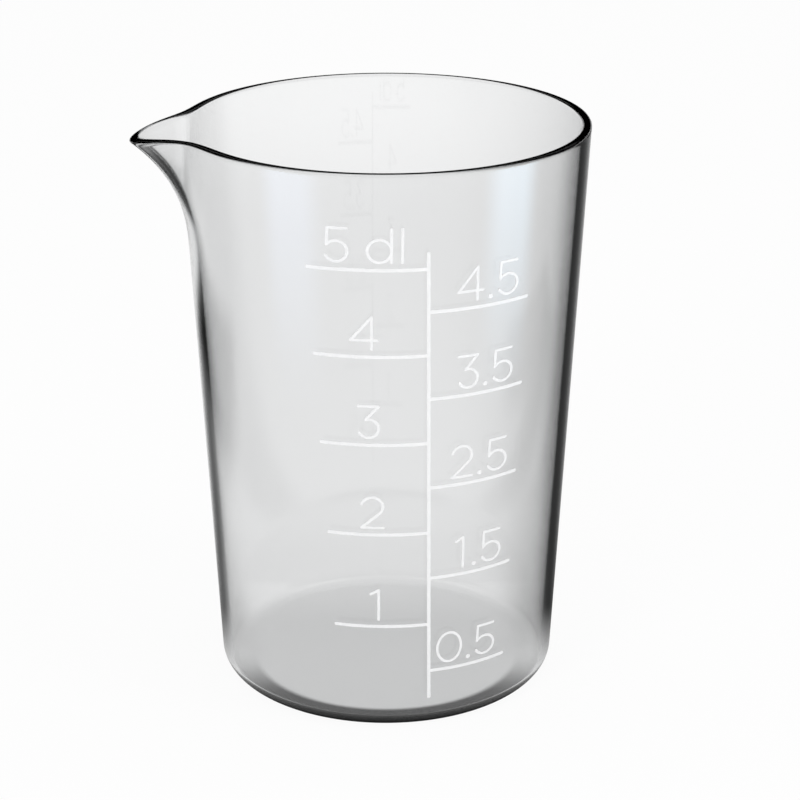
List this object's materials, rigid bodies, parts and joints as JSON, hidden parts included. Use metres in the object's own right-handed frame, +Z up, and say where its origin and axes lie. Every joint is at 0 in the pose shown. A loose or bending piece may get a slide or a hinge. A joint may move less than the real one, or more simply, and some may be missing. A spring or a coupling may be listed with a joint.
{
  "type": "measuring pitcher",
  "caption": "Clear smoke-grey tapered measuring pitcher with a drawn pouring lip, a rounded foot and a white printed decilitre scale; no handle, no lid.",
  "frame": {"origin": "centre of the flat face that the pitcher stands on", "axes": "+Z up along the pitcher's axis; the pouring lip points along -X; the printed scale faces -Y"},
  "size_m": [0.0994, 0.089, 0.1282],
  "materials": {
    "jug_plastic": "clear, glossy, light smoke-grey tint",
    "white_ink": "matte white print"
  },
  "bodies": {
    "root": {"jug_body": "jug_plastic", "scale_spine": "white_ink", "line_0_5": "white_ink", "line_1_0": "white_ink", "line_1_5": "white_ink", "line_2_0": "white_ink", "line_2_5": "white_ink", "line_3_0": "white_ink", "line_3_5": "white_ink", "line_4_0": "white_ink", "line_4_5": "white_ink", "line_5_0": "white_ink", "numeral_0_5": "white_ink", "numeral_1_0": "white_ink", "numeral_1_5": "white_ink", "numeral_2_0": "white_ink", "numeral_2_5": "white_ink", "numeral_3_0": "white_ink", "numeral_3_5": "white_ink", "numeral_4_0": "white_ink", "numeral_4_5": "white_ink", "numeral_5_0": "white_ink"}
  },
  "joints": []
}
